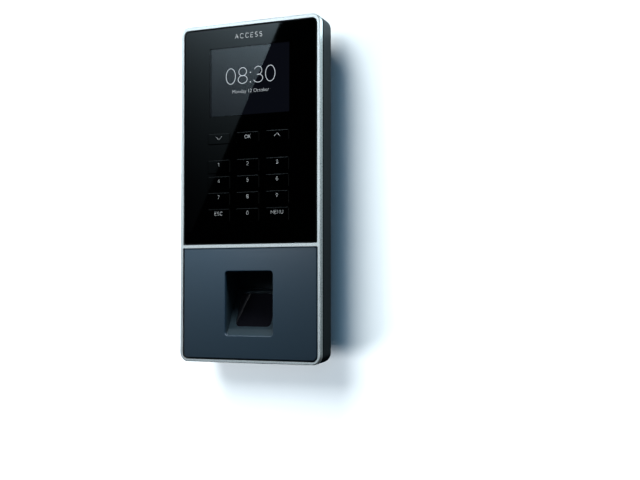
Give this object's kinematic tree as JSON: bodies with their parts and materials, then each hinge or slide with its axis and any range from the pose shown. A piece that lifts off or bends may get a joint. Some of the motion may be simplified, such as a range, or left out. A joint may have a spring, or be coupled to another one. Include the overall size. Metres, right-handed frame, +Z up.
{
  "type": "fingerprint scanner terminal",
  "caption": "Wall-mounted fingerprint and card terminal with a display, a keypad and a recessed finger pocket, on a lift-off steel bracket.",
  "frame": {"origin": "centre of the wall bracket's screw pattern, in the wall plane", "axes": "+Z up, +X to the viewer's right, +Y from the face into the wall"},
  "size_m": [0.1004, 0.032, 0.2146],
  "materials": {
    "silver_frame": "satin silver",
    "black_gloss": "polished",
    "key_gloss": "polished",
    "clear_lens": "polished",
    "black_foam": "matte",
    "lcd": "polished",
    "sheet_steel": "rolled",
    "flex_film": "amber film",
    "silicone": "matte",
    "circuit_board": "solder mask",
    "black_plastic": "fine spark texture",
    "slate_satin": "satin, bead blasted",
    "slate_pocket": "satin",
    "sensor_window": "polished, dark",
    "cable_jacket": "smooth",
    "tinned_steel": "tinned",
    "bare_steel": "polished",
    "white_plastic": "smooth",
    "black_rubber": "matte",
    "dark_housing": "fine spark texture",
    "zinc_steel": "zinc plated",
    "screw_steel": "zinc plated",
    "insert_brass": "knurled"
  },
  "bodies": {
    "terminal": {"front_frame": "silver_frame", "upper_panel": "black_gloss", "display_lens": "clear_lens", "display_gasket": "black_foam", "lcd_panel": "lcd", "lcd_retainer": "sheet_steel", "lcd_flex": "flex_film", "key_mat": "silicone", "keypad_pcb": "circuit_board", "keypad_flex": "flex_film", "front_housing": "black_plastic", "lower_panel": "slate_satin", "finger_pocket": "slate_pocket", "sensor_glass": "sensor_window", "sensor_gasket": "black_foam", "sensor_module": "black_plastic", "sensor_cable": "cable_jacket", "rfid_antenna": "circuit_board", "main_pcb": "circuit_board", "shield_can": "tinned_steel", "wifi_module": "tinned_steel", "buzzer": "black_plastic", "coin_cell_holder": "black_plastic", "coin_cell": "bare_steel", "ethernet_jack": "tinned_steel", "usb_port": "tinned_steel", "dc_inlet": "black_plastic", "tamper_switch": "black_plastic", "housing_seal": "black_rubber", "rear_housing": "dark_housing", "wall_bracket": "zinc_steel", "m2_screws": "screw_steel", "pcb_screws": "screw_steel", "threaded_inserts": "insert_brass", "housing_screws": "screw_steel", "security_screw": "screw_steel"},
    "key_down": {"key_down": "key_gloss"},
    "key_ok": {"key_ok": "key_gloss"},
    "key_up": {"key_up": "key_gloss"},
    "key_1": {"key_1": "key_gloss"},
    "key_2": {"key_2": "key_gloss"},
    "key_3": {"key_3": "key_gloss"},
    "key_4": {"key_4": "key_gloss"},
    "key_5": {"key_5": "key_gloss"},
    "key_6": {"key_6": "key_gloss"},
    "key_7": {"key_7": "key_gloss"},
    "key_8": {"key_8": "key_gloss"},
    "key_9": {"key_9": "key_gloss"},
    "key_esc": {"key_esc": "key_gloss"},
    "key_0": {"key_0": "key_gloss"},
    "key_menu": {"key_menu": "key_gloss"},
    "tamper_plunger": {"tamper_plunger": "white_plastic"}
  },
  "joints": [
    {"name": "key_down_press", "type": "slide", "parent": "terminal", "child": "key_down", "axis": [0, 1, 0], "range_m": [0, 0.0007], "stiffness_N_per_m": 1500, "springref_m": -0.0002, "deforming": ["key_mat"]},
    {"name": "key_ok_press", "type": "slide", "parent": "terminal", "child": "key_ok", "axis": [0, 1, 0], "range_m": [0, 0.0007], "stiffness_N_per_m": 1500, "springref_m": -0.0002, "deforming": ["key_mat"]},
    {"name": "key_up_press", "type": "slide", "parent": "terminal", "child": "key_up", "axis": [0, 1, 0], "range_m": [0, 0.0007], "stiffness_N_per_m": 1500, "springref_m": -0.0002, "deforming": ["key_mat"]},
    {"name": "key_1_press", "type": "slide", "parent": "terminal", "child": "key_1", "axis": [0, 1, 0], "range_m": [0, 0.0007], "stiffness_N_per_m": 1500, "springref_m": -0.0002, "deforming": ["key_mat"]},
    {"name": "key_2_press", "type": "slide", "parent": "terminal", "child": "key_2", "axis": [0, 1, 0], "range_m": [0, 0.0007], "stiffness_N_per_m": 1500, "springref_m": -0.0002, "deforming": ["key_mat"]},
    {"name": "key_3_press", "type": "slide", "parent": "terminal", "child": "key_3", "axis": [0, 1, 0], "range_m": [0, 0.0007], "stiffness_N_per_m": 1500, "springref_m": -0.0002, "deforming": ["key_mat"]},
    {"name": "key_4_press", "type": "slide", "parent": "terminal", "child": "key_4", "axis": [0, 1, 0], "range_m": [0, 0.0007], "stiffness_N_per_m": 1500, "springref_m": -0.0002, "deforming": ["key_mat"]},
    {"name": "key_5_press", "type": "slide", "parent": "terminal", "child": "key_5", "axis": [0, 1, 0], "range_m": [0, 0.0007], "stiffness_N_per_m": 1500, "springref_m": -0.0002, "deforming": ["key_mat"]},
    {"name": "key_6_press", "type": "slide", "parent": "terminal", "child": "key_6", "axis": [0, 1, 0], "range_m": [0, 0.0007], "stiffness_N_per_m": 1500, "springref_m": -0.0002, "deforming": ["key_mat"]},
    {"name": "key_7_press", "type": "slide", "parent": "terminal", "child": "key_7", "axis": [0, 1, 0], "range_m": [0, 0.0007], "stiffness_N_per_m": 1500, "springref_m": -0.0002, "deforming": ["key_mat"]},
    {"name": "key_8_press", "type": "slide", "parent": "terminal", "child": "key_8", "axis": [0, 1, 0], "range_m": [0, 0.0007], "stiffness_N_per_m": 1500, "springref_m": -0.0002, "deforming": ["key_mat"]},
    {"name": "key_9_press", "type": "slide", "parent": "terminal", "child": "key_9", "axis": [0, 1, 0], "range_m": [0, 0.0007], "stiffness_N_per_m": 1500, "springref_m": -0.0002, "deforming": ["key_mat"]},
    {"name": "key_esc_press", "type": "slide", "parent": "terminal", "child": "key_esc", "axis": [0, 1, 0], "range_m": [0, 0.0007], "stiffness_N_per_m": 1500, "springref_m": -0.0002, "deforming": ["key_mat"]},
    {"name": "key_0_press", "type": "slide", "parent": "terminal", "child": "key_0", "axis": [0, 1, 0], "range_m": [0, 0.0007], "stiffness_N_per_m": 1500, "springref_m": -0.0002, "deforming": ["key_mat"]},
    {"name": "key_menu_press", "type": "slide", "parent": "terminal", "child": "key_menu", "axis": [0, 1, 0], "range_m": [0, 0.0007], "stiffness_N_per_m": 1500, "springref_m": -0.0002, "deforming": ["key_mat"]},
    {"name": "tamper_plunger_press", "type": "slide", "parent": "terminal", "child": "tamper_plunger", "axis": [0, -1, 0], "range_m": [0, 0.0003], "stiffness_N_per_m": 800, "springref_m": -0.0006}
  ]
}
